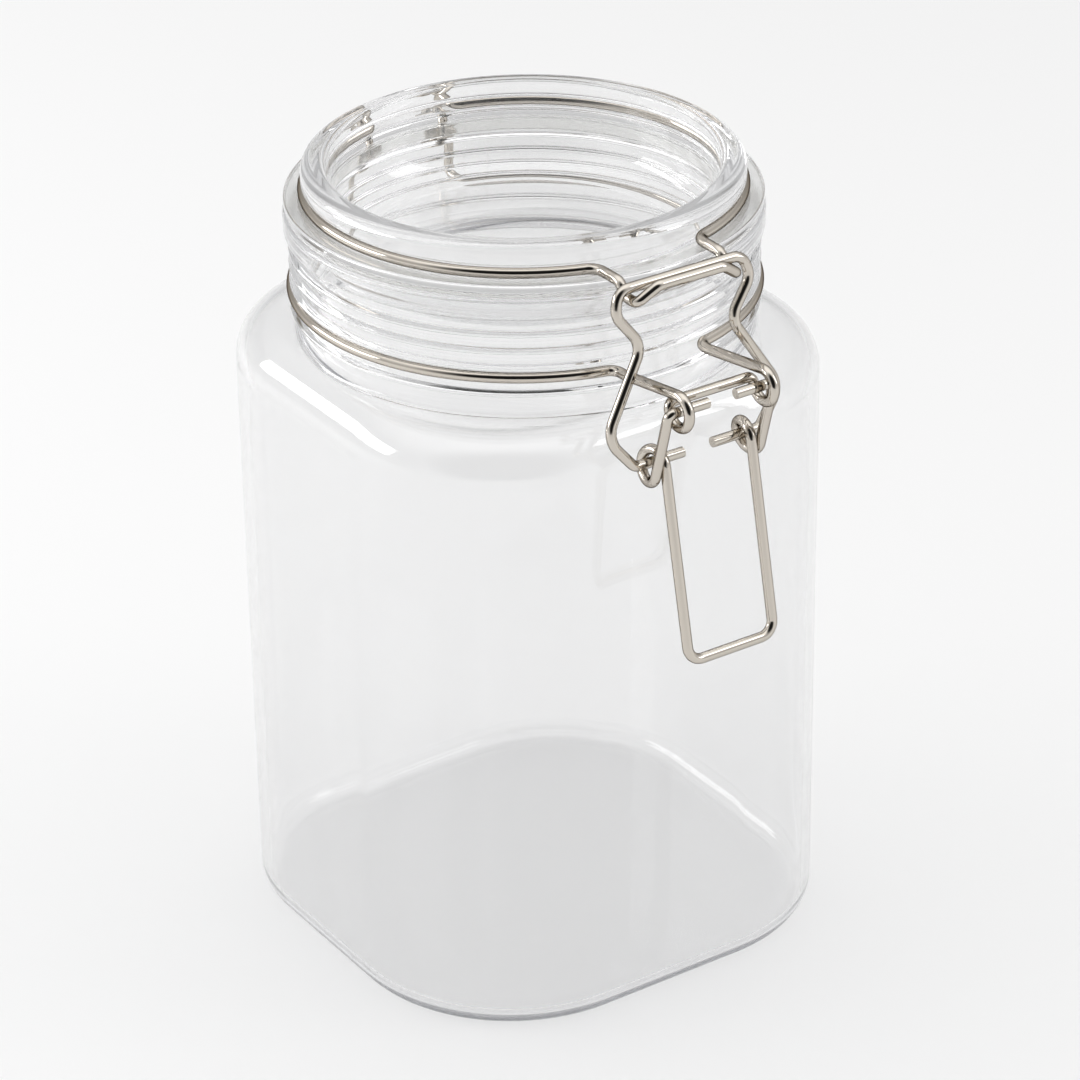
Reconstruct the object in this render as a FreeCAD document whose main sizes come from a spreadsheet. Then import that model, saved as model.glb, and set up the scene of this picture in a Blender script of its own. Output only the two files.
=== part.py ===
"""Clip-top storage jar: a square clear plastic jar, its plug lid and seal, and four bent wires.

Frame: millimetres, +Z up, the origin at the middle of the base. The clasp is at -Y and the hinge at +Y.
"""
import FreeCAD, Part
import math
import os
import Sketcher

Vector = FreeCAD.Vector
doc = FreeCAD.newDocument("storage_jar")

# Every size is written once here: a number is a driving dimension, a formula follows from the others.
SIZES = (
    ("body_width", "125", "jar body across its flat sides"),
    ("corner_radius", "43", "upright corners of the body, seen from above"),
    ("foot_radius", "5.7", "rounding round the base"),
    ("shoulder_radius", "11", "rounding from the sides to the top of the body"),
    ("body_height", "158", "base to the top of the shoulder"),
    ("wall", "2.4", "thickness of the body's sides and of the neck"),
    ("floor_thickness", "3", "thickness of the base"),
    ("neck_radius", "54.2", "outside of the neck between its beads"),
    ("bead_height", "1.8", "how far the neck's beads stand out"),
    ("bead_half", "0.75", "half of a bead's height at its root"),
    ("bead_flat", "0.35", "half of a bead's height at its crest"),
    ("lip_overhang", "2.8", "how far the lip stands out from the neck"),
    ("lip_depth", "5.4", "height of the lip"),
    ("lip_rise", "30.2", "top of the shoulder to the top of the lip"),
    ("bead_pitch", "4.2", "between the neck's beads"),
    ("wire_diameter", "2.5", "all four wires"),
    ("groove_slack", "0.05", "between a ring wire and the groove that it lies in"),
    ("groove_play", "2.4", "how far the neck wire's groove is taller than the wire"),
    ("neck_wire_rise", "10.3", "top of the shoulder to the middle of the neck wire"),
    ("seal_thickness", "1.1", "flat part of the seal"),
    ("seal_slack", "0.05", "between the seal and the faces that it lies on"),
    ("seal_collar", "1.1", "thickness of the seal's collar round the plug"),
    ("seal_collar_depth", "2.6", "how far the collar hangs below the flat part"),
    ("plug_clearance", "2", "between the lid's plug and the bore of the neck"),
    ("plug_draft", "0.8", "how much smaller the plug is at its bottom"),
    ("plug_depth", "13.5", "top of the lip to the bottom of the plug"),
    ("plug_round", "11", "rounding at the bottom of the plug"),
    ("flange_thickness", "2", "lid's flange"),
    ("flange_overlap", "0.3", "how far the flange stays inside the lip's edge"),
    ("lid_groove_height", "3", "height of the lid wire's groove"),
    ("lid_groove_depth", "1.8", "rim's outside in to the bottom of the lid wire's groove"),
    ("rim_inset", "1.7", "neck's outside in to the outside of the lid's rim"),
    ("rim_width", "5.9", "lid's rim, across"),
    ("rim_round_outer", "2.8", "rounding of the rim's outer edge"),
    ("rim_round_inner", "1.6", "rounding of the rim's inner edge"),
    ("lid_rise", "8.1", "flange to the top of the rim"),
    ("recess_floor", "2.6", "thickness of the lid's sunk floor"),
    ("recess_draft", "1.4", "how much smaller the lid's recess is at its floor"),
    ("recess_round", "8", "rounding between the recess's wall and floor"),
    ("edge_round", "0.7", "small roundings of the flange and the lip"),
    ("pivot_reach", "16.6", "side of the jar out to the lever's pivot"),
    ("pivot_rise", "9.6", "top of the shoulder to the lever's pivot"),
    ("neck_eye_radius", "3.9", "neck wire's eyes, at the middle of the wire"),
    ("neck_eye_end", "345", "where that eye turns into its cross bar, in degrees"),
    ("neck_prong_x", "11.7", "middle of the jar to the neck wire's prongs"),
    ("prong_bend", "3", "bends where a ring wire leaves its groove"),
    ("tongue_bend", "4", "bends where the lid wire leaves its groove in front"),
    ("tight_bend", "1.7", "tightest bend of a wire, at its middle"),
    ("wire_bend", "2.5", "usual bend of a wire, at its middle"),
    ("link_gap", "0.4", "between the lever's links and the neck wire's eyes"),
    ("body_gap", "3.2", "between the lever's loops and the jar's side"),
    ("loop_radius", "3.7", "lever's loops, at the middle of the wire"),
    ("loop_drop", "16.5", "lever's pivot down to the middle of its loops"),
    ("arm_x", "12", "middle of the jar to the handle's arms"),
    ("handle_drop", "62", "lever's pivot down to the handle's bar"),
    ("handle_reach", "21.3", "side of the jar out to the handle's bar"),
    ("handle_bend", "3.6", "corners of the handle"),
    ("lever_end_x", "3.8", "middle of the jar to the lever's cut ends"),
    ("bail_pivot_in", "0.7", "middle of the lever's loops in to the bail's pivot"),
    ("bail_pivot_up", "0.5", "middle of the lever's loops up to the bail's pivot"),
    ("bail_reach", "6.3", "edge of the lip out to the bail's top bar"),
    ("bail_top_rise", "1.2", "flange's top up to the bail's bar"),
    ("bail_end_x", "4.1", "middle of the jar to the bail's cut ends"),
    ("bail_foot_x", "17.4", "middle of the jar to the bail's lower bends"),
    ("bail_wide_x", "24.2", "corners of the bail's widest place"),
    ("bail_waist_x", "12.3", "corners of the bail's waist"),
    ("bail_head_x", "18.7", "corners of the bail's head"),
    ("bail_top_x", "17", "bail at its top corners"),
    ("bail_wide_part", "0.2", "height of the widest place, as a part of the bail's height"),
    ("bail_waist_part", "0.665", "height of the waist, as a part of the bail's height"),
    ("bail_head_part", "0.87", "height of the head, as a part of the bail's height"),
    ("bail_wide_bend", "6", "bends at the bail's widest place"),
    ("bail_waist_bend", "5", "bends at the bail's waist"),
    ("bail_head_bend", "4.5", "bends at the bail's head"),
    ("bail_top_bend", "3.5", "bends at the bail's top corners"),
    ("tongue_gap", "0.35", "between the bail's bar and the prongs under it"),
    ("tongue_room", "1.35", "between the bail's bar and the tongue's bar"),
    ("tongue_x", "13.9", "middle of the jar to the tongue's prongs"),
    ("tongue_bar_x", "9", "middle of the jar to the corners of the tongue's bar"),
    ("tongue_bar_rise", "0.6", "bail's bar up to the tongue's bar"),
    ("hinge_reach", "4.8", "edge of the lip out to the hinge"),
    ("hinge_drop", "8.7", "middle of the lid wire down to the hinge"),
    ("hinge_eye_radius", "2.8", "lid wire's eyes, at the middle of the wire"),
    ("hinge_eye_x", "12.5", "middle of the jar to the hinge's eyes"),
    ("hinge_post_x", "17", "middle of the jar to the hinge's posts"),
    ("hinge_post_bend", "4", "bend at the foot of the hinge's posts"),
    ("hinge_end_x", "8", "middle of the jar to the neck wire's cut ends"),
    ("wire_radius", "=wire_diameter / 2", ""),
    ("half_width", "=body_width / 2", ""),
    ("hollow_half", "=half_width - wall", ""),
    ("hollow_corner", "=corner_radius - wall", ""),
    ("hollow_foot", "=foot_radius - wall", ""),
    ("hollow_shoulder", "=shoulder_radius - wall", ""),
    ("hollow_height", "=body_height - wall - floor_thickness", ""),
    ("neck_root", "=body_height - shoulder_radius", ""),
    ("bore_radius", "=neck_radius - wall", ""),
    ("lip_radius", "=neck_radius + lip_overhang", ""),
    ("lip_top", "=body_height + lip_rise", ""),
    ("lip_bottom", "=lip_top - lip_depth", ""),
    ("bead_radius", "=neck_radius + bead_height", ""),
    ("neck_wire_z", "=body_height + neck_wire_rise", ""),
    ("collar_bead_z", "=neck_wire_z + wire_radius + groove_slack + bead_half", ""),
    ("foot_bead_z", "=neck_wire_z - wire_radius - groove_play - bead_half", ""),
    ("neck_wire_radius", "=neck_radius + groove_slack + wire_radius", ""),
    ("seal_bottom", "=lip_top + seal_slack", ""),
    ("seal_top", "=seal_bottom + seal_thickness", ""),
    ("flange_bottom", "=seal_top + seal_slack", ""),
    ("flange_top", "=flange_bottom + flange_thickness", ""),
    ("flange_radius", "=lip_radius - flange_overlap", ""),
    ("plug_radius", "=bore_radius - plug_clearance", ""),
    ("plug_bottom", "=lip_top - plug_depth", ""),
    ("plug_bottom_radius", "=plug_radius - plug_draft", ""),
    ("recess_bottom", "=plug_bottom + recess_floor", ""),
    ("lid_groove_top", "=flange_top + lid_groove_height", ""),
    ("lid_top", "=flange_top + lid_rise", ""),
    ("rim_radius", "=neck_radius - rim_inset", ""),
    ("lid_groove_radius", "=rim_radius - lid_groove_depth", ""),
    ("rim_inner", "=rim_radius - rim_width", ""),
    ("recess_radius", "=rim_inner - recess_draft", ""),
    ("seal_inner", "=plug_radius + seal_slack", ""),
    ("seal_outer", "=lip_radius - edge_round - seal_slack", ""),
    ("seal_collar_outer", "=seal_inner + seal_collar", ""),
    ("seal_collar_bottom", "=seal_bottom - seal_collar_depth", ""),
    ("lid_wire_z", "=flange_top + groove_slack + wire_radius", ""),
    ("lid_wire_radius", "=lid_groove_radius + groove_slack + wire_radius", ""),
    ("pivot_z", "=body_height + pivot_rise", ""),
    ("pivot_out", "=half_width + pivot_reach", ""),
    ("handle_out", "=half_width + handle_reach", ""),
    ("bail_out", "=lip_radius + bail_reach", ""),
    ("hinge_out", "=lip_radius + hinge_reach", ""),
    ("link_x", "=neck_prong_x + wire_diameter + link_gap", ""),
    ("loop_out", "=half_width + body_gap + wire_radius + loop_radius", ""),
    ("loop_z", "=pivot_z - loop_drop", ""),
    ("bail_pivot_out", "=loop_out - bail_pivot_in", ""),
    ("bail_pivot_z", "=loop_z + bail_pivot_up", ""),
    ("bail_top_z", "=flange_top + bail_top_rise", ""),
    ("handle_z", "=pivot_z - handle_drop", ""),
    ("tongue_bar_out", "=bail_out + wire_diameter + tongue_room", ""),
    ("tongue_bar_z", "=bail_top_z + tongue_bar_rise", ""),
    ("tongue_dip_z", "=bail_top_z - wire_diameter - tongue_gap", ""),
    ("hinge_z", "=lid_wire_z - hinge_drop", ""),
)


def fill_sheet():
    """Write the sizes into a spreadsheet, each with its alias and a note."""
    table = doc.addObject("Spreadsheet::Sheet", "Sizes")
    for row, (alias, content, note) in enumerate(SIZES, start=1):
        table.set(f"A{row}", alias)
        table.set(f"B{row}", content)
        table.setAlias(f"B{row}", alias)
        table.set(f"C{row}", note)
    doc.recompute()
    return table


sheet = fill_sheet()


def size(alias):
    """A size from the spreadsheet, in millimetres."""
    return float(sheet.get(alias))


def origin_plane(body, role):
    """A plane of the body's own origin."""
    return next(plane for plane in body.Origin.OriginFeatures if plane.Role == role)


def new_sketch(body, name, role):
    """An empty sketch on one of the body's own origin planes."""
    sketch = body.newObject("Sketcher::SketchObject", name)
    sketch.AttachmentSupport = [(origin_plane(body, role), "")]
    sketch.MapMode = "FlatFace"
    return sketch


def bind(sketch, constraint, expression):
    """Add a constraint whose value follows the spreadsheet."""
    index = sketch.addConstraint(constraint)
    sketch.setExpression(f"Constraints[{index}]", expression)


def profile_sketch(body, name, corners):
    """A closed outline on the XZ plane through corners given as pairs of (radius, height) aliases.

    A radius of None is a corner on the axis.
    """
    sketch = new_sketch(body, name, "XZ_Plane")
    points = [Vector(size(radius) if radius else 0, size(height), 0) for radius, height in corners]
    for start, end in zip(points, points[1:] + points[:1]):
        sketch.addGeometry(Part.LineSegment(start, end), False)
    for line in range(len(points)):
        following = (line + 1) % len(points)
        sketch.addConstraint(Sketcher.Constraint("Coincident", line, 2, following, 1))
    for line, (radius, height) in enumerate(corners):
        if radius:
            bind(sketch, Sketcher.Constraint("DistanceX", -1, 1, line, 1, size(radius)), f"Sizes.{radius}")
        else:
            sketch.addConstraint(Sketcher.Constraint("PointOnObject", line, 1, -2))
        bind(sketch, Sketcher.Constraint("DistanceY", -1, 1, line, 1, size(height)), f"Sizes.{height}")
    return sketch


def revolve(body, name, corners):
    """Turn an outline round the jar's axis."""
    sketch = profile_sketch(body, name + "_profile", corners)
    feature = body.newObject("PartDesign::Revolution", name)
    feature.Profile = sketch
    feature.ReferenceAxis = (sketch, ["V_Axis"])
    feature.Angle = 360
    doc.recompute()
    return feature


def round_edges(body, name, feature, edges, alias):
    """Round some edges of a feature by a size of the spreadsheet."""
    fillet = body.newObject("PartDesign::Fillet", name)
    fillet.Base = (feature, edges)
    fillet.setExpression("Radius", f"Sizes.{alias}")
    doc.recompute()
    return fillet


def ring_edge(feature, radius, height):
    """The name of the circle round the axis with this radius at this height, both given as aliases."""
    for number, edge in enumerate(feature.Shape.Edges, start=1):
        curve = edge.Curve
        if not isinstance(curve, Part.Circle):
            continue
        if abs(curve.Radius - size(radius)) < 1e-4 and abs(curve.Center.z - size(height)) < 1e-4:
            return f"Edge{number}"
    raise ValueError(f"no ring edge at {radius}, {height}")


def level_edges(feature, height):
    """The names of all edges that lie at one height, in millimetres."""
    names = []
    for number, edge in enumerate(feature.Shape.Edges, start=1):
        box = edge.BoundBox
        if abs(box.ZMin - height) < 1e-4 and abs(box.ZMax - height) < 1e-4:
            names.append(f"Edge{number}")
    return names


def rounded_square(body, name, half, corner):
    """A square with rounded corners on the XY plane, its half width and corner radius given as aliases."""
    sketch = new_sketch(body, name, "XY_Plane")
    reach = size(half)
    straight = reach - size(corner)
    for quarter in range(4):
        turn = FreeCAD.Rotation(Vector(0, 0, 1), 90 * quarter)
        start = turn.multVec(Vector(-straight, -reach, 0))
        end = turn.multVec(Vector(straight, -reach, 0))
        sketch.addGeometry(Part.LineSegment(start, end), False)
        middle = turn.multVec(Vector(straight, -straight, 0))
        circle = Part.Circle(middle, Vector(0, 0, 1), size(corner))
        first = math.radians(90 * quarter - 90)
        sketch.addGeometry(Part.ArcOfCircle(circle, first, first + math.pi / 2), False)
    for quarter in range(4):
        side = 2 * quarter
        arc = side + 1
        sketch.addConstraint(Sketcher.Constraint("Tangent", side, 2, arc, 1))
        sketch.addConstraint(Sketcher.Constraint("Tangent", arc, 2, (side + 2) % 8, 1))
    sketch.addConstraint(Sketcher.Constraint("Horizontal", 0))
    for arc in (3, 5, 7):
        sketch.addConstraint(Sketcher.Constraint("Equal", 1, arc))
    bind(sketch, Sketcher.Constraint("Radius", 1, size(corner)), f"Sizes.{corner}")
    bind(sketch, Sketcher.Constraint("DistanceY", 0, 1, -1, 1, reach), f"Sizes.{half}")
    bind(sketch, Sketcher.Constraint("DistanceX", -1, 1, 2, 1, reach), f"Sizes.{half}")
    bind(sketch, Sketcher.Constraint("DistanceY", -1, 1, 4, 1, reach), f"Sizes.{half}")
    bind(sketch, Sketcher.Constraint("DistanceX", 6, 1, -1, 1, reach), f"Sizes.{half}")
    return sketch


def square_block(body, name, half, corner, height):
    """A pad of a rounded square."""
    pad = body.newObject("PartDesign::Pad", name)
    pad.Profile = rounded_square(body, name + "_outline", half, corner)
    pad.setExpression("Length", f"Sizes.{height}")
    doc.recompute()
    return pad


def add_bead(body, name, middle, shift):
    """A ridge round the neck, its middle at a height alias plus a formula."""
    ring = body.newObject("Sketcher::SketchObject", name + "_profile")
    ring.AttachmentSupport = [(origin_plane(body, "XZ_Plane"), "")]
    ring.MapMode = "FlatFace"
    centre = size(middle) + shift * size("bead_pitch")
    inside = size("bore_radius")
    root = size("bead_half")
    crest = size("bead_flat")
    outline = [
        Vector(inside, centre - root, 0),
        Vector(size("neck_radius"), centre - root, 0),
        Vector(size("bead_radius"), centre - crest, 0),
        Vector(size("bead_radius"), centre + crest, 0),
        Vector(size("neck_radius"), centre + root, 0),
        Vector(inside, centre + root, 0),
    ]
    for start, end in zip(outline, outline[1:] + outline[:1]):
        ring.addGeometry(Part.LineSegment(start, end), False)
    for line in range(6):
        ring.addConstraint(Sketcher.Constraint("Coincident", line, 2, (line + 1) % 6, 1))
    radii = ("bore_radius", "neck_radius", "bead_radius", "bead_radius", "neck_radius", "bore_radius")
    halves = ("- Sizes.bead_half", "- Sizes.bead_half", "- Sizes.bead_flat", "+ Sizes.bead_flat",
              "+ Sizes.bead_half", "+ Sizes.bead_half")
    for line, (radius, half) in enumerate(zip(radii, halves)):
        place = outline[line]
        level = f"Sizes.{middle} + {shift} * Sizes.bead_pitch {half}"
        bind(ring, Sketcher.Constraint("DistanceX", -1, 1, line, 1, place.x), f"Sizes.{radius}")
        bind(ring, Sketcher.Constraint("DistanceY", -1, 1, line, 1, place.y), level)
    feature = body.newObject("PartDesign::Revolution", name)
    feature.Profile = ring
    feature.ReferenceAxis = (ring, ["V_Axis"])
    feature.Angle = 360
    doc.recompute()


def make_jar_body():
    """The blown jar: a square body with a round neck, four beads and a lip, hollowed to its wall."""
    outer = doc.addObject("PartDesign::Body", "jar_outer")
    block = square_block(outer, "body_block", "half_width", "corner_radius", "body_height")
    top = round_edges(outer, "shoulder", block, level_edges(block, size("body_height")), "shoulder_radius")
    round_edges(outer, "foot", top, level_edges(top, 0), "foot_radius")
    neck = revolve(outer, "neck", (
        (None, "neck_root"), ("neck_radius", "neck_root"), ("neck_radius", "lip_bottom"),
        ("lip_radius", "lip_bottom"), ("lip_radius", "lip_top"), (None, "lip_top")))
    lip_edges = [ring_edge(neck, "lip_radius", "lip_bottom"), ring_edge(neck, "lip_radius", "lip_top")]
    round_edges(outer, "lip_round", neck, lip_edges, "edge_round")
    add_bead(outer, "foot_bead", "foot_bead_z", 0)
    for number in range(3):
        add_bead(outer, f"collar_bead_{number}", "collar_bead_z", number)
    hollow = doc.addObject("PartDesign::Body", "jar_hollow")
    space = square_block(hollow, "hollow_block", "hollow_half", "hollow_corner", "hollow_height")
    top = level_edges(space, size("hollow_height"))
    upper = round_edges(hollow, "hollow_top", space, top, "hollow_shoulder")
    round_edges(hollow, "hollow_base", upper, level_edges(upper, 0), "hollow_foot")
    hollow.setExpression("Placement.Base.z", "Sizes.floor_thickness")
    bore = doc.addObject("Part::Cylinder", "bore")
    bore.setExpression("Radius", "Sizes.bore_radius")
    bore.setExpression("Height", "Sizes.lip_top - Sizes.neck_root + Sizes.wall")
    bore.setExpression("Placement.Base.z", "Sizes.neck_root")
    inside = doc.addObject("Part::Fuse", "jar_inside")
    inside.Base = hollow
    inside.Tool = bore
    jar = doc.addObject("Part::Cut", "jar_body")
    jar.Base = outer
    jar.Tool = inside
    return jar


def make_lid():
    """The moulded lid: a sunk plug with a rounded rim, a groove for its wire and a flange over the seal."""
    lid = doc.addObject("PartDesign::Body", "lid")
    form = revolve(lid, "lid_form", (
        (None, "plug_bottom"), ("plug_bottom_radius", "plug_bottom"), ("plug_radius", "flange_bottom"),
        ("flange_radius", "flange_bottom"), ("flange_radius", "flange_top"),
        ("lid_groove_radius", "flange_top"), ("lid_groove_radius", "lid_groove_top"),
        ("rim_radius", "lid_groove_top"), ("rim_radius", "lid_top"), ("rim_inner", "lid_top"),
        ("recess_radius", "recess_bottom"), (None, "recess_bottom")))
    roundings = (
        ("rim_outer_edge", "rim_radius", "lid_top", "rim_round_outer"),
        ("rim_inner_edge", "rim_inner", "lid_top", "rim_round_inner"),
        ("recess_corner", "recess_radius", "recess_bottom", "recess_round"),
        ("plug_corner", "plug_bottom_radius", "plug_bottom", "plug_round"),
        ("flange_upper_edge", "flange_radius", "flange_top", "edge_round"),
        ("flange_lower_edge", "flange_radius", "flange_bottom", "edge_round"))
    for name, radius, height, amount in roundings:
        form = round_edges(lid, name, form, [ring_edge(form, radius, height)], amount)
    return lid


def make_seal_ring():
    """The soft seal: a flat ring between flange and lip, with a collar that grips the plug."""
    seal = doc.addObject("PartDesign::Body", "seal_ring")
    revolve(seal, "seal_form", (
        ("seal_inner", "seal_collar_bottom"), ("seal_collar_outer", "seal_collar_bottom"),
        ("seal_collar_outer", "seal_bottom"), ("seal_outer", "seal_bottom"),
        ("seal_outer", "seal_top"), ("seal_inner", "seal_top")))
    return seal


def line_edge(start, end):
    """A straight run of wire."""
    return Part.LineSegment(start, end).toShape()


def arc_edge(start, middle, end):
    """A bend of wire through three places."""
    return Part.Arc(start, middle, end).toShape()


def bent_run(corners):
    """Straight runs through corners of (place, bend radius), each inner corner rounded by its bend."""
    edges = []
    last = corners[0][0]
    for (before, _), (corner, bend), (after, _) in zip(corners, corners[1:], corners[2:]):
        back = (before - corner).normalize()
        ahead = (after - corner).normalize()
        half_angle = back.getAngle(ahead) / 2
        reach = bend / math.tan(half_angle)
        bisector = (back + ahead).normalize()
        nearest = corner + bisector * (bend / math.sin(half_angle) - bend)
        bend_start = corner + back * reach
        if not bend_start.isEqual(last, 1e-6):
            edges.append(line_edge(last, bend_start))
        last = corner + ahead * reach
        edges.append(arc_edge(bend_start, nearest, last))
    edges.append(line_edge(last, corners[-1][0]))
    return edges


def leave_ring(radius, bend, x, y_sign, z):
    """Where a ring wire turns straight out at x: the ring's end, the bend's middle, the run's start."""
    centre_x = x + bend
    centre = Vector(-centre_x, y_sign * math.sqrt((radius + bend) ** 2 - centre_x ** 2), z)
    inward = (Vector(0, 0, z) - centre).normalize()
    sideways = Vector(1, 0, 0)
    on_ring = centre + inward * bend
    middle = centre + (inward + sideways).normalize() * bend
    return on_ring, middle, Vector(-x, centre.y, z)


def ring_half(radius, z, front_bend_radius, front_x, rear_x):
    """The left half of a ring wire between its front prong and its rear leg, and the places where it ends."""
    front_ring, front_bend, front = leave_ring(radius, front_bend_radius, front_x, -1, z)
    rear_ring, rear_bend, rear = leave_ring(radius, size("prong_bend"), rear_x, 1, z)
    edges = [
        arc_edge(front, front_bend, front_ring),
        arc_edge(front_ring, Vector(-radius, 0, z), rear_ring),
        arc_edge(rear_ring, rear_bend, rear),
    ]
    return edges, front, rear


def around(x, centre_y, centre_z, radius, degrees):
    """A place on a circle that turns round the X direction, its angle measured from +Y to +Z."""
    angle = math.radians(degrees)
    return Vector(x, centre_y + radius * math.cos(angle), centre_z + radius * math.sin(angle))


def make_wire(name, half_edges):
    """A round wire swept along a path, given as the edges of its left half and mirrored."""
    edges = half_edges + [edge.mirror(Vector(0, 0, 0), Vector(1, 0, 0)) for edge in half_edges]
    path = doc.addObject("Part::Feature", name + "_path")
    path.Shape = Part.Wire(Part.__sortEdges__(edges))
    first = path.Shape.OrderedEdges[0]
    profile = doc.addObject("Part::Circle", name + "_profile")
    profile.setExpression("Radius", "Sizes.wire_radius")
    start = first.valueAt(first.FirstParameter)
    along = first.tangentAt(first.FirstParameter)
    profile.Placement = FreeCAD.Placement(start, FreeCAD.Rotation(Vector(0, 0, 1), along))
    sweep = doc.addObject("Part::Sweep", name)
    sweep.Sections = [profile]
    sweep.Spine = (path, [])
    sweep.Solid = True
    doc.recompute()
    return sweep


def make_neck_wire():
    """The lower ring, in the neck's groove: two eyes carry the lever and two posts carry the hinge."""
    z = size("neck_wire_z")
    x = size("neck_prong_x")
    pivot_y = -size("pivot_out")
    pivot_z = size("pivot_z")
    eye = size("neck_eye_radius")
    tight = size("tight_bend")
    ring, front, rear = ring_half(size("neck_wire_radius"), z, size("prong_bend"), x, size("hinge_post_x"))
    rise = Vector(-x, front.y - size("wire_radius"), z)
    across = rise.y - pivot_y
    up = rise.z - pivot_z
    spread = math.degrees(math.acos(eye / math.hypot(across, up)))
    first = math.degrees(math.atan2(up, across)) + spread
    last = size("neck_eye_end")
    eye_start = around(-x, pivot_y, pivot_z, eye, first)
    eye_end = around(-x, pivot_y, pivot_z, eye, last)
    prong = bent_run([(front, 0), (rise, 2 * eye), (eye_start, 0)])
    loop = [arc_edge(eye_start, around(-x, pivot_y, pivot_z, eye, (first + last) / 2), eye_end)]
    turn = eye_end + around(0, 0, 0, tight, last + 90)
    bar = bent_run([(eye_end, 0), (turn, tight), (Vector(0, turn.y, turn.z), 0)])
    foot = Vector(-size("hinge_post_x"), size("hinge_out"), z)
    head = Vector(foot.x, foot.y, size("hinge_z"))
    end = Vector(-size("hinge_end_x"), foot.y, head.z)
    post = bent_run([(rear, 0), (foot, size("hinge_post_bend")), (head, size("wire_bend")), (end, 0)])
    return make_wire("neck_wire", bar + loop + prong + ring + post)


def make_lid_wire():
    """The upper ring, in the lid's groove, with a notched tongue in front and two hinge eyes behind."""
    z = size("lid_wire_z")
    x = size("tongue_x")
    eye = size("hinge_eye_radius")
    bend = size("wire_bend")
    ring, front, rear = ring_half(size("lid_wire_radius"), z, size("tongue_bend"), x, size("hinge_eye_x"))
    bar_y = -size("tongue_bar_out")
    bail_y = -size("bail_out")
    dip_z = size("tongue_dip_z")
    step = z - dip_z
    slope_y = bail_y + size("wire_radius") + step
    dip_y = bar_y + size("wire_radius")
    bar_z = size("tongue_bar_z")
    tongue = bent_run([
        (front, 0), (Vector(-x, slope_y, z), bend), (Vector(-x, slope_y - step, dip_z), size("tight_bend")),
        (Vector(-x, dip_y, dip_z), size("tight_bend")), (Vector(-size("tongue_bar_x"), bar_y, bar_z), bend),
        (Vector(0, bar_y, bar_z), 0)])
    hinge_y = size("hinge_out")
    hinge_z = size("hinge_z")
    eye_x = -size("hinge_eye_x")
    eye_start = around(eye_x, hinge_y, hinge_z, eye, 180)
    leg = bent_run([(rear, 0), (Vector(eye_x, eye_start.y, z), bend), (eye_start, 0)])
    eye_end = around(eye_x, hinge_y, hinge_z, eye, 420)
    hook = [arc_edge(eye_start, around(eye_x, hinge_y, hinge_z, eye, 300), eye_end)]
    return make_wire("lid_wire", tongue + ring + leg + hook)


def on_loop(x, degrees):
    """A place on the lever's loop."""
    return around(x, -size("loop_out"), size("loop_z"), size("loop_radius"), degrees)


def loop_edge(start_angle, end_angle):
    """A turn of the lever's wire round the bail's end, stepping sideways from the link to the arm."""
    count = 24
    places = []
    for number in range(count + 1):
        part = number / count
        eased = part * part * (3 - 2 * part)
        x = -size("link_x") + (size("link_x") - size("arm_x")) * eased
        angle = start_angle + (end_angle - start_angle) * part
        places.append(on_loop(x, angle))
    first = math.radians(start_angle)
    last = math.radians(end_angle)
    lengths = [0.0]
    for before, after in zip(places, places[1:]):
        lengths.append(lengths[-1] + (after - before).Length)
    curve = Part.BSplineCurve()
    curve.interpolate(Points=places, Parameters=lengths,
                      InitialTangent=Vector(0, -math.sin(first), math.cos(first)),
                      FinalTangent=Vector(0, -math.sin(last), math.cos(last)), Scale=False)
    return curve.toShape()


def outer_tangent(y, z):
    """The angle on the lever's loop, on its outer side, where a straight run to this place touches it."""
    across = y + size("loop_out")
    up = z - size("loop_z")
    spread = math.degrees(math.acos(size("loop_radius") / math.hypot(across, up)))
    direction = math.degrees(math.atan2(up, across)) % 360
    return direction + spread if up > 0 else direction - spread


def make_lever_wire():
    """The handle: a U of wire with a loop round the bail's ends and a link up to the neck wire's eyes."""
    pivot_y = -size("pivot_out")
    pivot_z = size("pivot_z")
    handle_y = -size("handle_out")
    handle_z = size("handle_z")
    link_x = -size("link_x")
    arm_x = -size("arm_x")
    start_angle = outer_tangent(pivot_y, pivot_z)
    end_angle = outer_tangent(handle_y, handle_z) + 360
    loop = loop_edge(start_angle, end_angle)
    loop_start = on_loop(link_x, start_angle)
    loop_end = on_loop(arm_x, end_angle)
    cut_end = Vector(-size("lever_end_x"), pivot_y, pivot_z)
    link = bent_run([(cut_end, 0), (Vector(link_x, pivot_y, pivot_z), size("tight_bend")), (loop_start, 0)])
    arm = bent_run([(loop_end, 0), (Vector(arm_x, handle_y, handle_z), size("handle_bend")),
                    (Vector(0, handle_y, handle_z), 0)])
    return make_wire("lever_wire", link + [loop] + arm)


def make_bail_wire():
    """The bail: an hourglass of wire from the lever's loops up over the lid wire's tongue."""
    low = Vector(0, -size("bail_pivot_out"), size("bail_pivot_z"))
    rise = Vector(0, -size("bail_out"), size("bail_top_z")) - low

    def place(x, part):
        return low + rise * part + Vector(-size(x), 0, 0)

    half = bent_run([
        (place("bail_end_x", 0), 0),
        (place("bail_foot_x", 0), size("wire_bend")),
        (place("bail_wide_x", size("bail_wide_part")), size("bail_wide_bend")),
        (place("bail_waist_x", size("bail_waist_part")), size("bail_waist_bend")),
        (place("bail_head_x", size("bail_head_part")), size("bail_head_bend")),
        (place("bail_top_x", 1), size("bail_top_bend")),
        (low + rise, 0)])
    return make_wire("bail_wire", half)


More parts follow.
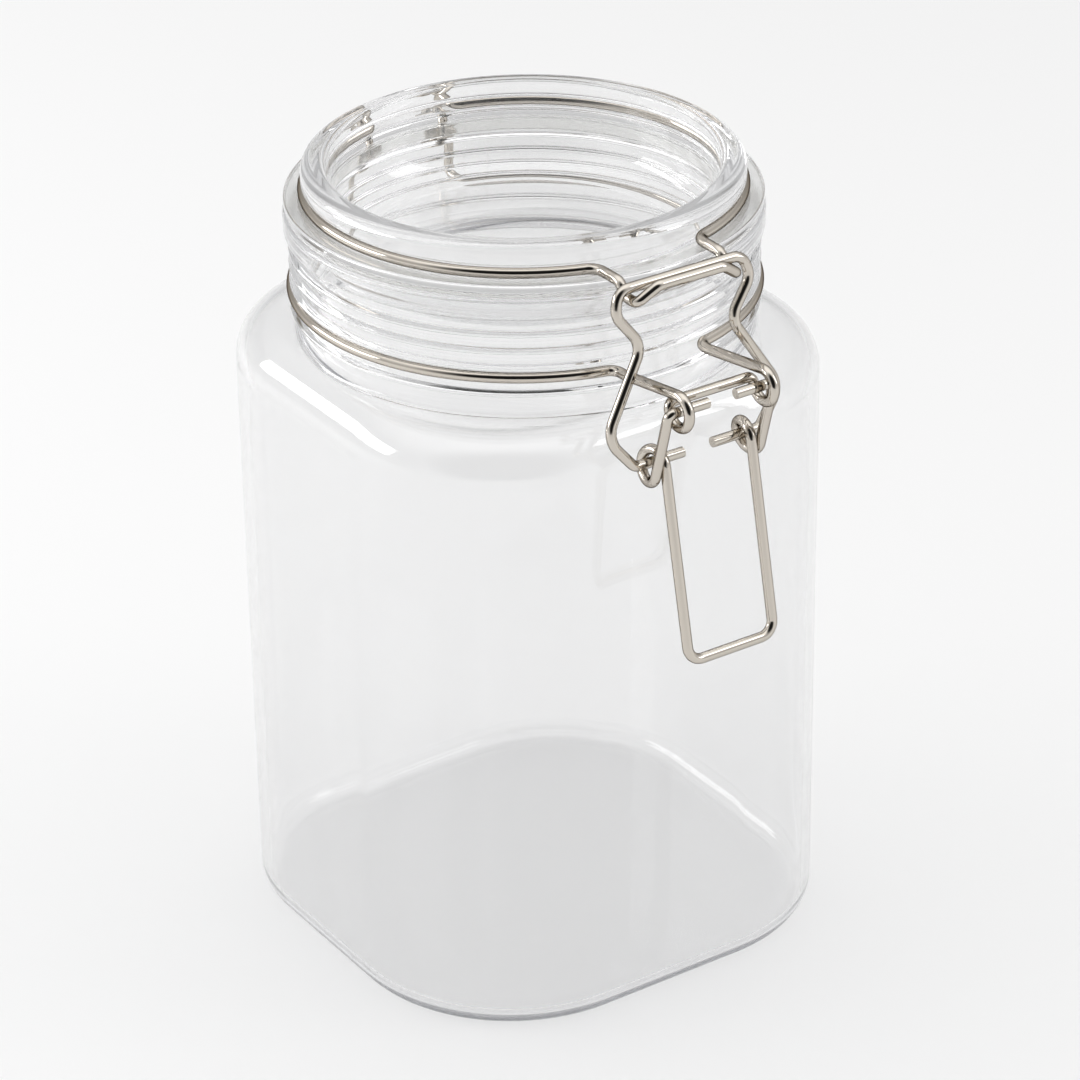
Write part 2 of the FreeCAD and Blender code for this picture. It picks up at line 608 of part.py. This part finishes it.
def check_document():
    """Stop if any feature failed or has no valid shape."""
    doc.recompute()
    for item in doc.Objects:
        if "Invalid" in item.State or "Error" in item.State:
            raise RuntimeError(f"{item.Label} failed: {item.State}")
        if hasattr(item, "Shape") and (item.Shape.isNull() or not item.Shape.isValid()):
            raise RuntimeError(f"{item.Label} has no valid shape")


parts = [make_jar_body(), make_lid(), make_seal_ring(), make_neck_wire(), make_lid_wire(),
         make_lever_wire(), make_bail_wire()]
check_document()
os.makedirs("parts", exist_ok=True)
for part in parts:
    part.Shape.exportStep(f"parts/{part.Label}.step")
    print(part.Label, len(part.Shape.Solids), round(part.Shape.Volume, 1), part.Shape.BoundBox)
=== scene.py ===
import math

import bpy
import numpy as np
from mathutils import Matrix, Vector


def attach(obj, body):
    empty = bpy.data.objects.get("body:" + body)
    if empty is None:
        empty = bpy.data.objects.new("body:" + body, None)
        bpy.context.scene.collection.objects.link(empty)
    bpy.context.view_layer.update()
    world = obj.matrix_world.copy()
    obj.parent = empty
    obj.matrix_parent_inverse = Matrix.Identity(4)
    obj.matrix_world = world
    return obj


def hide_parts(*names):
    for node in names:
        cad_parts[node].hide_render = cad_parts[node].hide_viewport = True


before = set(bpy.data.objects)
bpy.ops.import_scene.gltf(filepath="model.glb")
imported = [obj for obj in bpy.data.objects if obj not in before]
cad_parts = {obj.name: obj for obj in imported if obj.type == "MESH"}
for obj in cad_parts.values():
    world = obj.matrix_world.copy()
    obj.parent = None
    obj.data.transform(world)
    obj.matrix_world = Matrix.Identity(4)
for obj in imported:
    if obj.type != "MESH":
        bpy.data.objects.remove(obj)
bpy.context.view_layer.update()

# The jar's body: one clear moulding of SAN plastic, square with rounded corners, and round at the neck.
# It has an even wall, a heavier base, a thick square lip for the seal to press on, and four thin beads:
# the lower wire lies between the first bead and the second.
MM = 0.001  # metres, and the sizes of all pieces are in millimetres
WALL = 2.4
BODY_HALF = 62.5
BODY_CORNER = 43
BODY_TOP = 158
SHOULDER_ROUND = 11
FOOT_ROUND = 5.7
FLOOR_THICKNESS = 3
BASE_PUSH_UP = 0.8
NECK_RADIUS = 54.2
NECK_ROOT_ROUND = 1.4
BORE_RADIUS = NECK_RADIUS - WALL
THROAT_ROUND = 1
BEAD_HEIGHT = 1.8
BEAD_CENTRES = (163.9, 170.35, 174.55, 178.75)
BEAD_ROOT_HALF, BEAD_CREST_HALF = 0.75, 0.35
BEAD_ROOT_ROUND, BEAD_CREST_ROUND = 0.45, 0.42
LIP_RADIUS = 57
LIP_BOTTOM, LIP_TOP = 182.8, 188.2
LIP_ROOT_ROUND, LIP_EDGE_ROUND, LIP_BORE_ROUND = 0.6, 1, 0.8

# How finely the body is drawn: points round the axis, and rows over each of its parts.
AROUND = 288
TURN = np.linspace(0, 2 * math.pi, AROUND, endpoint=False)
QUARTER = math.pi / 2
BASE_ROWS, FOOT_ROWS, SIDE_ROWS = 14, 13, 24
SHOULDER_ROWS, NECK_ROOT_ROWS = 26, 8
INNER_SHOULDER_ROWS, THROAT_ROWS = 24, 7
BASE_MIDDLE = 0.04  # the base's innermost row, as a part of its size
SIDE_MARGIN = 0.3  # from each end of the straight side to its nearest row
LONGEST_RUN = 5.0  # about the most between two points of a turned profile


def rounded_square(inset):
    """Radius of the body's plan at each angle of TURN, with one row for each inset from its outside.

    A ray meets a flat side at half width / cosine. Past the flat it meets the corner's arc, at the larger
    root of |r u - k|^2 = c^2, where k is the arc's centre and c its radius.
    """
    inset = np.asarray(inset, float)[..., None]
    across, along = np.abs(np.cos(TURN)), np.abs(np.sin(TURN))
    centre = BODY_HALF - BODY_CORNER
    half, corner = BODY_HALF - inset, BODY_CORNER - inset
    flat = half / np.maximum(across, along)
    on_flat = flat * np.minimum(across, along) <= centre
    towards = centre * (across + along)
    arc = towards + np.sqrt(np.maximum(towards ** 2 - 2 * centre ** 2 + corner ** 2, 0))
    return np.where(on_flat, flat, arc)


def inset_of(radius):
    """How far inside the body's plan each point (radius, TURN) lies.

    It is minus the signed distance to a rounded square: the corner's radius, less the distance outside the
    square of the corners' centres.
    """
    centre = BODY_HALF - BODY_CORNER
    past_x = np.abs(radius * np.cos(TURN)) - centre
    past_y = np.abs(radius * np.sin(TURN)) - centre
    outside = np.hypot(np.maximum(past_x, 0), np.maximum(past_y, 0))
    return BODY_CORNER - outside - np.minimum(np.maximum(past_x, past_y), 0)


def rows_at(radius, height):
    """Points of a grid from cylinder coordinates: radius and height for each row, or each row and angle."""
    radius, height = np.broadcast_arrays(radius, height, np.zeros(AROUND))[:2]
    return np.stack([radius * np.cos(TURN), radius * np.sin(TURN), height], axis=-1)


def column(values):
    """Values down the rows of a grid."""
    return np.asarray(values, float)[:, None]


def base_rows(inset, level, parts):
    """Rows across a base, each of them a part of the size of the plan at an inset.

    The base is pushed up in the middle, by BASE_PUSH_UP x (1 - part^4) above its level.
    """
    return rows_at(rounded_square(inset) * column(parts), column(level + BASE_PUSH_UP * (1 - parts ** 4)))


def foot_rows(inset, rounding, level, turn):
    """Rows round the edge of a base: rounding x (1 - sin turn) further in, rounding x (1 - cos turn) up."""
    return rows_at(rounded_square(inset + rounding * (1 - np.sin(turn))),
                   column(level + rounding * (1 - np.cos(turn))))


def shoulder_rows(inset, rounding, top, inner_radius, count):
    """Radius and height from the side's plan in to a circle, each row part of the way along the rays.

    The height is that of a round edge, top - rounding + sqrt(rounding^2 - (rounding - depth)^2), where
    depth is how far the point lies inside the plan. Rows are spaced as 1 - cos, closer where it is steep.
    """
    part = column(1 - np.cos(np.linspace(0, QUARTER, count)))
    radius = rounded_square(inset) * (1 - part) + inner_radius * part
    depth = np.clip(inset_of(radius) - inset, 0, rounding)
    return radius, top - rounding + np.sqrt(rounding ** 2 - (rounding - depth) ** 2)


def outer_shoulder():
    """The outside from the side to the neck: the shoulder, then a quarter circle at the neck's root.

    The shoulder ends a little lower at the flats than at the corners, and the quarter circle evens it out.
    """
    root = NECK_RADIUS + NECK_ROOT_ROUND
    radius, height = shoulder_rows(0, SHOULDER_ROUND, BODY_TOP, root, SHOULDER_ROWS)
    turn = np.linspace(0, QUARTER, NECK_ROOT_ROWS)[1:]
    fade = column(turn / turn[-1])
    level = height[-1] * (1 - fade) + BODY_TOP * fade
    neck_root = rows_at(column(root - NECK_ROOT_ROUND * np.sin(turn)),
                        level + column(NECK_ROOT_ROUND * (1 - np.cos(turn))))
    return np.concatenate([rows_at(radius, height), neck_root])


def inner_shoulder():
    """The inside from the bore to the side: a quarter circle at the throat, then under the shoulder."""
    under = BODY_TOP - WALL
    mouth = BORE_RADIUS + THROAT_ROUND
    radius, height = shoulder_rows(WALL, SHOULDER_ROUND - WALL, under, mouth, INNER_SHOULDER_ROWS)
    turn = np.linspace(0, QUARTER, THROAT_ROWS)
    fade = column(turn / turn[-1])
    throat = rows_at(column(mouth - THROAT_ROUND * np.cos(turn)),
                     under + THROAT_ROUND * (1 - column(np.sin(turn))) + (height[-1] - under) * fade)
    return np.concatenate([throat, rows_at(radius[-2::-1], height[-2::-1])])


def corner_arc(before, place, after, rounding, steps):
    """Points round one corner of a profile, from the run before it to the run after it.

    The arc touches its runs at rounding x tan(half the turn) from the corner, and is drawn by turning one
    radius into the other at an even rate.
    """
    back = (before - place) / np.hypot(*(before - place))
    ahead = (after - place) / np.hypot(*(after - place))
    turn = math.pi - math.acos(np.clip(back @ ahead, -1, 1))
    reach = rounding * math.tan(turn / 2)
    inwards = (back + ahead) / np.hypot(*(back + ahead))
    centre = place + inwards * rounding / math.cos(turn / 2)
    start, end = place + back * reach - centre, place + ahead * reach - centre
    t = column(np.linspace(0, 1, steps))
    return centre + (np.sin((1 - t) * turn) * start + np.sin(t * turn) * end) / math.sin(turn)


def turned_profile(corners, arc_steps, support=0.12):
    """(radius, height) points along straight runs, with corners given as (radius, height, rounding).

    A run longer than four supports also gets points one support from its ends, so that its smooth shading
    stays flat, and points between them where it is long.
    """
    places = np.array([corner[:2] for corner in corners], float)
    arcs = [corner_arc(before, place, after, rounding, arc_steps) for before, place, after, (_, _, rounding)
            in zip(places, places[1:], places[2:], corners[1:-1])]
    stretches = [places[:1], *arcs, places[-1:]]
    points = [places[:1]]
    for earlier, later in zip(stretches, stretches[1:]):
        start, end = earlier[-1], later[0]
        length = np.hypot(*(end - start))
        if length > 4 * support:
            inner = np.linspace(support, length - support, max(2, int(length / LONGEST_RUN) + 1))
            points.append(start + (end - start) * column(inner / length))
        points.append(later)
    return np.concatenate(points)


def turned_rows(profile):
    """A profile of (radius, height) points carried round the axis."""
    return rows_at(column(profile[:, 0]), column(profile[:, 1]))


def neck_profile():
    """The neck's profile: up the outside over the beads and the lip, then down the bore."""
    corners = [(NECK_RADIUS, BODY_TOP + NECK_ROOT_ROUND, 0)]
    crest = NECK_RADIUS + BEAD_HEIGHT
    for z in BEAD_CENTRES:
        corners += [
            (NECK_RADIUS, z - BEAD_ROOT_HALF, BEAD_ROOT_ROUND),
            (crest, z - BEAD_CREST_HALF, BEAD_CREST_ROUND),
            (crest, z + BEAD_CREST_HALF, BEAD_CREST_ROUND),
            (NECK_RADIUS, z + BEAD_ROOT_HALF, BEAD_ROOT_ROUND)]
    corners += [
        (NECK_RADIUS, LIP_BOTTOM, LIP_ROOT_ROUND),
        (LIP_RADIUS, LIP_BOTTOM, LIP_EDGE_ROUND), (LIP_RADIUS, LIP_TOP, LIP_EDGE_ROUND),
        (BORE_RADIUS, LIP_TOP, LIP_BORE_ROUND), (BORE_RADIUS, BODY_TOP, 0)]
    return turned_profile(corners, arc_steps=6)


def body_rows():
    """The body's grid, from the middle of its underside up the outside, over the lip and down the inside."""
    parts = np.linspace(BASE_MIDDLE, 1, BASE_ROWS)
    turn = np.linspace(0, QUARTER, FOOT_ROWS)
    inner_foot = FOOT_ROUND - WALL
    side_top = BODY_TOP - SHOULDER_ROUND - SIDE_MARGIN
    side_heights = np.linspace(FOOT_ROUND + SIDE_MARGIN, side_top, SIDE_ROWS)
    inner_heights = np.linspace(side_top, FLOOR_THICKNESS + inner_foot + SIDE_MARGIN, SIDE_ROWS)
    return np.concatenate([
        base_rows(FOOT_ROUND, 0, parts),
        foot_rows(0, FOOT_ROUND, 0, turn[1:]),
        rows_at(rounded_square(0), column(side_heights)),
        outer_shoulder(),
        turned_rows(neck_profile()[1:]),
        inner_shoulder(),
        rows_at(rounded_square(WALL), column(inner_heights)),
        foot_rows(WALL, inner_foot, FLOOR_THICKNESS, turn[::-1]),
        base_rows(WALL + inner_foot, FLOOR_THICKNESS, parts[-2::-1])])


def grid_mesh(name, rows, closed=False):
    """A smooth mesh of quads over a grid that runs round the axis.

    A closed grid joins its last row to its first. An open one has both ends drawn together in a fan of
    triangles to one point, the middle of the end row.
    """
    count = len(rows)
    places = rows.reshape(-1, 3)
    upper = np.arange(count if closed else count - 1)[:, None] * AROUND
    lower = (upper + AROUND) % (count * AROUND)
    side = np.arange(AROUND)
    next_side = (side + 1) % AROUND
    quads = np.stack([upper + side, upper + next_side, lower + next_side, lower + side], axis=-1)
    faces = quads.reshape(-1, 4).tolist()
    if not closed:
        first, last = len(places), len(places) + 1
        end = (count - 1) * AROUND
        places = np.concatenate([places, rows[:1].mean(axis=1), rows[-1:].mean(axis=1)])
        faces += np.stack([np.full(AROUND, first), next_side, side], axis=-1).tolist()
        faces += np.stack([end + side, end + next_side, np.full(AROUND, last)], axis=-1).tolist()
    mesh = bpy.data.meshes.new(name)
    mesh.from_pydata((places * MM).tolist(), [], faces)
    mesh.shade_smooth()
    piece = bpy.data.objects.new(name, mesh)
    bpy.context.scene.collection.objects.link(piece)
    return piece


def linear(hex_colour):
    """The linear colour of an sRGB hex value: c / 12.92 when dark, else ((c + 0.055) / 1.055) ^ 2.4."""
    srgb = np.array([int(hex_colour[i:i + 2], 16) / 255 for i in (1, 3, 5)])
    values = np.where(srgb <= 0.04045, srgb / 12.92, ((srgb + 0.055) / 1.055) ** 2.4)
    return (*values.tolist(), 1.0)


def add(tree, kind, sockets=(), **settings):
    """Add a node to a tree, with its settings by name.

    Its sockets are given as (input, value), and a value may be the output that feeds the input.
    """
    node = tree.nodes.new(kind)
    for name, value in settings.items():
        setattr(node, name, value)
    for name, value in sockets:
        if isinstance(value, bpy.types.NodeSocket):
            tree.links.new(value, node.inputs[name])
        else:
            node.inputs[name].default_value = value
    return node


def new_material(name):
    """An empty node material, with its tree."""
    material = bpy.data.materials.new(name)
    material.use_nodes = True
    material.node_tree.nodes.clear()
    return material, material.node_tree


CLEAR_FACE = "#fcfcfc"  # what one face lets through


def clear_surface(tree, shader, deepest):
    """The surface of a clear material, which lets some light straight through and bends the rest.

    Light that only fills shadows goes straight through, and so does light that has already met more faces
    than the deepest number, which would otherwise stay trapped in a thick rim.
    """
    path = add(tree, "ShaderNodeLightPath").outputs
    soft = add(tree, "ShaderNodeMath", (
        (0, path["Is Shadow Ray"]), (1, path["Is Diffuse Ray"])), operation="MAXIMUM")
    deep = add(tree, "ShaderNodeMath", ((0, path["Ray Depth"]), (1, deepest)), operation="GREATER_THAN")
    straight = add(tree, "ShaderNodeMath", (
        (0, soft.outputs["Value"]), (1, deep.outputs["Value"])), operation="MAXIMUM")
    open_air = add(tree, "ShaderNodeBsdfTransparent", (("Color", linear(CLEAR_FACE)),))
    mixed = add(tree, "ShaderNodeMixShader", (
        (0, straight.outputs["Value"]), (1, shader), (2, open_air.outputs["BSDF"])))
    return mixed.outputs["Shader"]


SAN_DEPTHS = "#cacbce"
SAN_IOR = 1.57
SAN_POLISHED, SAN_HAZED = 0.012, 0.035  # roughness
WAVE_LENGTH, WAVE_DEPTH, WAVE_STRENGTH = 30, 0.6, 0.03
HAZE_PATCH = 12


def clear_san(name, density, deepest):
    """Clear SAN, moulded in a polished tool: water-clear, glossy, cool in its thick edges.

    The tool leaves a slow waviness some 30 mm long, and use leaves a dull haze in patches of some 12 mm.
    Density is how fast the plastic greys with depth.
    """
    material, tree = new_material(name)
    place = add(tree, "ShaderNodeTexCoord").outputs["Object"]
    waves = add(tree, "ShaderNodeTexNoise", (
        ("Vector", place), ("Scale", 1 / (WAVE_LENGTH * MM)), ("Detail", 1.0)))
    bump = add(tree, "ShaderNodeBump", (
        ("Height", waves.outputs["Fac"]), ("Strength", WAVE_STRENGTH), ("Distance", WAVE_DEPTH * MM)))
    haze = add(tree, "ShaderNodeTexNoise", (
        ("Vector", place), ("Scale", 1 / (HAZE_PATCH * MM)), ("Detail", 3.0)))
    dull = add(tree, "ShaderNodeMapRange", (
        ("Value", haze.outputs["Fac"]), ("From Min", 0.45), ("From Max", 0.75),
        ("To Min", SAN_POLISHED), ("To Max", SAN_HAZED)))
    shader = add(tree, "ShaderNodeBsdfPrincipled", (
        ("Base Color", linear(CLEAR_FACE)), ("IOR", SAN_IOR), ("Transmission Weight", 1.0),
        ("Roughness", dull.outputs["Result"]), ("Normal", bump.outputs["Normal"])))
    depths = add(tree, "ShaderNodeVolumeAbsorption", (("Color", linear(SAN_DEPTHS)), ("Density", density)))
    surface = clear_surface(tree, shader.outputs["BSDF"], deepest)
    add(tree, "ShaderNodeOutputMaterial", (("Surface", surface), ("Volume", depths.outputs["Volume"])))
    return material


jar = grid_mesh("jar_shell", body_rows())
jar.data.materials.append(clear_san("clear_moulded_san", density=23.0, deepest=4))
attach(jar, "jar")
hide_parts("jar_body")

# The lid: a clear SAN moulding that drops into the neck. Its plug is sunk to a flat floor, its flange lies
# on the seal, its groove takes the upper wire, and its thick rim is a finger grip and a seat for stacking.
PLUG_BOTTOM, PLUG_ROUND = 174.7, 11
PLUG_RADIUS, PLUG_FOOT_RADIUS, PLUG_TOP_ROUND = 49.8, 49, 0.5
FLANGE_RADIUS, FLANGE_ROUND = 56.7, 0.7
FLANGE_BOTTOM, FLANGE_TOP = 189.4, 191.4
LID_GROOVE_RADIUS, LID_GROOVE_TOP, LID_GROOVE_ROUND = 50.7, 194.4, 0.6
RIM_RADIUS, RIM_ROUND = 52.5, 2.8
RIM_INNER, RIM_INNER_ROUND = 46.6, 1.6
LID_TOP = 199.5
RECESS_RADIUS, RECESS_FLOOR, RECESS_ROUND = 45.2, 177.3, 8
LID_MIDDLE = 2
lid_profile = turned_profile((
    (LID_MIDDLE, PLUG_BOTTOM, 0),
    (PLUG_FOOT_RADIUS, PLUG_BOTTOM, PLUG_ROUND), (PLUG_RADIUS, FLANGE_BOTTOM, PLUG_TOP_ROUND),
    (FLANGE_RADIUS, FLANGE_BOTTOM, FLANGE_ROUND), (FLANGE_RADIUS, FLANGE_TOP, FLANGE_ROUND),
    (LID_GROOVE_RADIUS, FLANGE_TOP, FLANGE_ROUND), (LID_GROOVE_RADIUS, LID_GROOVE_TOP, LID_GROOVE_ROUND),
    (RIM_RADIUS, LID_GROOVE_TOP, LID_GROOVE_ROUND), (RIM_RADIUS, LID_TOP, RIM_ROUND),
    (RIM_INNER, LID_TOP, RIM_INNER_ROUND), (RECESS_RADIUS, RECESS_FLOOR, RECESS_ROUND),
    (LID_MIDDLE, RECESS_FLOOR, 0)), arc_steps=14)
lid = grid_mesh("lid_moulding", turned_rows(lid_profile))
lid.data.materials.append(clear_san("clear_moulded_san_lid", density=10.0, deepest=3))
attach(lid, "lid")
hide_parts("lid")

# The seal: a moulded ring of clear silicone, flat between the flange and the lip, with a collar that grips
# the plug. It is soft and satin, milky beside the hard plastic.
SEAL_INNER, SEAL_OUTER, SEAL_COLLAR = 49.85, 56.25, 50.95
SEAL_BOTTOM, SEAL_TOP, SEAL_COLLAR_BOTTOM = 188.25, 189.35, 185.65
SEAL_COLLAR_ROUND, SEAL_OUTER_ROUND, SEAL_INNER_ROUND = 0.3, 0.35, 0.2
SEAL_START = 187
seal_profile = turned_profile((
    (SEAL_INNER, SEAL_START, 0), (SEAL_INNER, SEAL_COLLAR_BOTTOM, SEAL_COLLAR_ROUND),
    (SEAL_COLLAR, SEAL_COLLAR_BOTTOM, SEAL_COLLAR_ROUND), (SEAL_COLLAR, SEAL_BOTTOM, SEAL_COLLAR_ROUND),
    (SEAL_OUTER, SEAL_BOTTOM, SEAL_OUTER_ROUND), (SEAL_OUTER, SEAL_TOP, SEAL_OUTER_ROUND),
    (SEAL_INNER, SEAL_TOP, SEAL_INNER_ROUND), (SEAL_INNER, SEAL_START, 0)), arc_steps=6, support=0.08)
seal = grid_mesh("seal_moulding", turned_rows(seal_profile[:-1]), closed=True)

SILICONE = "#f8f8f6"
SILICONE_IOR = 1.41
SILICONE_GRAIN, SILICONE_GRAIN_DEPTH = 1.2, 0.1


def clear_silicone():
    """Clear silicone rubber, moulded: milky, with the satin skin of a blasted tool.

    The blasted grain is finer than a pixel, so it is drawn coarser, at 1.2 mm.
    """
    material, tree = new_material("clear_silicone")
    place = add(tree, "ShaderNodeTexCoord").outputs["Object"]
    grain = add(tree, "ShaderNodeTexNoise", (
        ("Vector", place), ("Scale", 1 / (SILICONE_GRAIN * MM)), ("Detail", 2.0)))
    bump = add(tree, "ShaderNodeBump", (
        ("Height", grain.outputs["Fac"]), ("Strength", 0.1), ("Distance", SILICONE_GRAIN_DEPTH * MM)))
    shader = add(tree, "ShaderNodeBsdfPrincipled", (
        ("Base Color", linear(SILICONE)), ("IOR", SILICONE_IOR), ("Transmission Weight", 0.9),
        ("Roughness", 0.22), ("Normal", bump.outputs["Normal"])))
    surface = clear_surface(tree, shader.outputs["BSDF"], deepest=3)
    add(tree, "ShaderNodeOutputMaterial", (("Surface", surface),))
    return material


seal.data.materials.append(clear_silicone())
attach(seal, "lid")
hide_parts("seal_ring")

# The four wires: spring steel drawn through a die, bent cold on pins and nickel plated bright.
# The lower one grips the neck, the upper one the lid, and the lever and the bail hook through their eyes.
# The second colour is painted shade: a dark edge tint that darkens the wires where they are seen aslant.
NICKEL, NICKEL_PAINTED_EDGE_SHADE = "#cdc6bc", "#57504a"
NICKEL_BRIGHT, NICKEL_DULL = 0.04, 0.12  # roughness
NICKEL_PATCH = 6
NICKEL_GRAIN, NICKEL_GRAIN_DEPTH = 0.8, 0.05


def bright_nickel():
    """Bright nickel plate on drawn steel wire: a warm white mirror, softened by a faint grain.

    The plate is thinner in places, which shows as slow patches of dullness some 6 mm long. Its dark edge
    tint is painted shade: it darkens the wire towards its edges, where it is seen aslant. The grain of the
    drawn wire under it is finer than a pixel, so it is drawn coarser, at 0.8 mm.
    """
    material, tree = new_material("bright_nickel_plate")
    place = add(tree, "ShaderNodeTexCoord").outputs["Object"]
    patches = add(tree, "ShaderNodeTexNoise", (
        ("Vector", place), ("Scale", 1 / (NICKEL_PATCH * MM)), ("Detail", 3.0)))
    dull = add(tree, "ShaderNodeMapRange", (
        ("Value", patches.outputs["Fac"]), ("From Min", 0.35), ("From Max", 0.7),
        ("To Min", NICKEL_BRIGHT), ("To Max", NICKEL_DULL)))
    grain = add(tree, "ShaderNodeTexNoise", (
        ("Vector", place), ("Scale", 1 / (NICKEL_GRAIN * MM)), ("Detail", 2.0)))
    bump = add(tree, "ShaderNodeBump", (
        ("Height", grain.outputs["Fac"]), ("Strength", 0.06), ("Distance", NICKEL_GRAIN_DEPTH * MM)))
    # The specular tint paints shade onto the wire's edges.
    shader = add(tree, "ShaderNodeBsdfPrincipled", (
        ("Base Color", linear(NICKEL)), ("Specular Tint", linear(NICKEL_PAINTED_EDGE_SHADE)), ("Metallic", 1.0),
        ("Roughness", dull.outputs["Result"]), ("Normal", bump.outputs["Normal"])))
    add(tree, "ShaderNodeOutputMaterial", (("Surface", shader.outputs["BSDF"]),))
    return material


nickel = bright_nickel()
for wire in ("neck_wire", "lid_wire", "lever_wire", "bail_wire"):
    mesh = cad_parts[wire].data
    mesh.materials.clear()
    mesh.materials.append(nickel)

# The studio: a plain white floor in a pale room, brightest overhead, with two soft lights for the streaks
# on the shoulder: a low one behind at the left and a small one at the right in front. The room is dark only
# on the camera's side, which gives the wires their dark lines. Its places and sizes are in metres.
FLOOR_REACH = 3.0
FLOOR_PAINT = "#f4f4f4"
ROOM_LEVELS = ((0.0, 0.58), (0.12, 0.46), (0.35, 0.38), (0.6, 0.5), (0.85, 0.88), (1.0, 1.0))
CAMERA_SIDE = (-0.48, -0.73, 0.49)
DARK_STARTS, DARK_ENDS = 0.64, 0.88
ROOM_BRIGHT, ROOM_DARK = 1.55, 0.03

corners = np.array([[-1, -1, 0], [1, -1, 0], [1, 1, 0], [-1, 1, 0]]) * FLOOR_REACH
floor_mesh = bpy.data.meshes.new("floor")
floor_mesh.from_pydata(corners.tolist(), [], [(0, 1, 2, 3)])
floor = bpy.data.objects.new("floor", floor_mesh)
bpy.context.scene.collection.objects.link(floor)
floor_paint, paint_tree = new_material("white_floor_paint")
paint = add(paint_tree, "ShaderNodeBsdfPrincipled", (
    ("Base Color", linear(FLOOR_PAINT)), ("Roughness", 0.8), ("Specular IOR Level", 0.0)))
add(paint_tree, "ShaderNodeOutputMaterial", (("Surface", paint.outputs["BSDF"]),))
floor_mesh.materials.append(floor_paint)

room = bpy.data.worlds.new("studio")
bpy.context.scene.world = room
room.use_nodes = True
room_tree = room.node_tree
room_tree.nodes.clear()
direction = add(room_tree, "ShaderNodeTexCoord").outputs["Generated"]
up = add(room_tree, "ShaderNodeSeparateXYZ", (("Vector", direction),)).outputs["Z"]
ramp = add(room_tree, "ShaderNodeValToRGB", (("Fac", up),))
stops = ramp.color_ramp.elements
for height, _ in ROOM_LEVELS[1:-1]:
    stops.new(height)
for stop, (_, level) in zip(stops, ROOM_LEVELS):
    stop.color = (level, level, level, 1)
near = add(room_tree, "ShaderNodeVectorMath", ((0, direction), (1, CAMERA_SIDE)), operation="DOT_PRODUCT")
strength = add(room_tree, "ShaderNodeMapRange", (
    ("Value", near.outputs["Value"]), ("From Min", DARK_STARTS), ("From Max", DARK_ENDS),
    ("To Min", ROOM_BRIGHT), ("To Max", ROOM_DARK)))
background = add(room_tree, "ShaderNodeBackground", (
    ("Color", ramp.outputs["Color"]), ("Strength", strength.outputs["Result"])))
add(room_tree, "ShaderNodeOutputWorld", (("Surface", background.outputs["Background"]),))


def soft_light(name, place, target, width, height, watts):
    """A soft box: an area light at a place, turned towards a target."""
    data = bpy.data.lights.new(name, "AREA")
    data.shape = "RECTANGLE"
    data.size, data.size_y = width, height
    data.energy = watts
    lamp = bpy.data.objects.new(name, data)
    facing = (Vector(target) - Vector(place)).to_track_quat("-Z", "Y")
    lamp.matrix_world = Matrix.Translation(place) @ facing.to_matrix().to_4x4()
    bpy.context.scene.collection.objects.link(lamp)


soft_light("fill_light", place=(1.0, -0.9, 0.9), target=(0, 0, 0.12), width=0.5, height=1.0, watts=4)
soft_light("edge_light", place=(-0.95, 0.75, 0.55), target=(0, 0, 0.14), width=0.95, height=0.4, watts=6)

# The camera stands where the photograph was taken from, fitted to the jar's outline. It looks down at the
# clasp's side from the left. Its place is in metres, its turns in degrees and its lens in millimetres.
CAMERA_PLACE = (-0.50295, -0.76202, 0.58553)
HEADING, TILT, ROLL = -33.589, 28.149, -0.834
SENSOR_WIDTH, LENS = 36, 140.47
camera_data = bpy.data.cameras.new("camera")
camera_data.sensor_width = SENSOR_WIDTH
camera_data.lens = LENS
camera = bpy.data.objects.new("camera", camera_data)
camera.matrix_world = (
    Matrix.Translation(CAMERA_PLACE)
    @ Matrix.Rotation(math.radians(HEADING), 4, "Z")
    @ Matrix.Rotation(math.radians(90 - TILT), 4, "X")
    @ Matrix.Rotation(math.radians(ROLL), 4, "Z"))
bpy.context.scene.collection.objects.link(camera)
bpy.context.scene.camera = camera
bpy.context.scene.view_settings.view_transform = "Standard"
